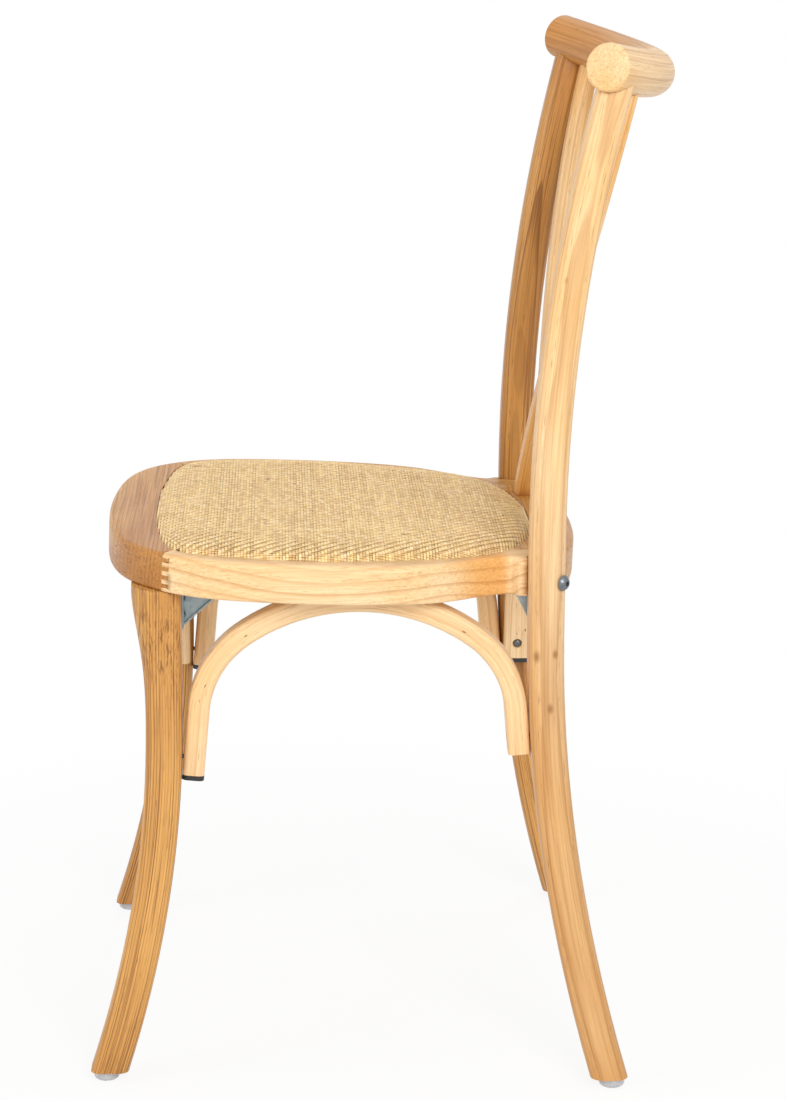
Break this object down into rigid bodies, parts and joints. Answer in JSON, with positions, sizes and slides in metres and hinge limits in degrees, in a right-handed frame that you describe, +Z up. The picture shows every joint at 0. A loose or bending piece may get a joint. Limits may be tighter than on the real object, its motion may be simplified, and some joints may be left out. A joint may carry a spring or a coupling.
{
  "type": "cross back chair",
  "caption": "Wooden dining chair with a round bowed crest rail, crossing back slats, a woven rattan seat, bent posts, sabre legs and bentwood arches under the seat.",
  "frame": {"origin": "on the floor under the middle of the chair's bounding box", "axes": "+Z up, the chair faces -Y, +X to the sitter's left"},
  "size_m": [0.508, 0.5076, 0.8839],
  "materials": {
    "pale_wood": "clear satin lacquer on pale honey ash or elm",
    "tan_wood": "clear satin lacquer on darker straight grained ash or elm",
    "plywood": "raw",
    "rattan": "woven natural rattan strips, matt",
    "galvanised_steel": "galvanised",
    "zinc_steel": "zinc plated",
    "black_plastic": "matt",
    "clear_plastic": "translucent, semi gloss"
  },
  "bodies": {
    "root": {"arch_crown_screws": "zinc_steel", "arch_end_caps": "black_plastic", "arch_end_screws": "zinc_steel", "back_post_left": "pale_wood", "back_post_right": "pale_wood", "bolt_inserts": "zinc_steel", "bracket_screws": "zinc_steel", "crest_rail": "pale_wood", "cross_slat_back": "pale_wood", "cross_slat_front": "pale_wood", "cross_slat_screw": "zinc_steel", "front_arch": "pale_wood", "front_bracket_left": "galvanised_steel", "front_bracket_right": "galvanised_steel", "front_glide_left": "clear_plastic", "front_glide_right": "clear_plastic", "front_leg_left": "tan_wood", "front_leg_right": "tan_wood", "post_bolt_left": "zinc_steel", "post_bolt_right": "zinc_steel", "rear_arch": "pale_wood", "rear_bracket_left": "galvanised_steel", "rear_bracket_right": "galvanised_steel", "rear_glide_left": "clear_plastic", "rear_glide_right": "clear_plastic", "seat_back_rail": "tan_wood", "seat_board": "plywood", "seat_board_screws": "zinc_steel", "seat_front_rail": "tan_wood", "seat_side_rail_left": "pale_wood", "seat_side_rail_right": "pale_wood", "side_arch_left": "pale_wood", "side_arch_right": "pale_wood", "woven_seat": "rattan"}
  },
  "joints": []
}
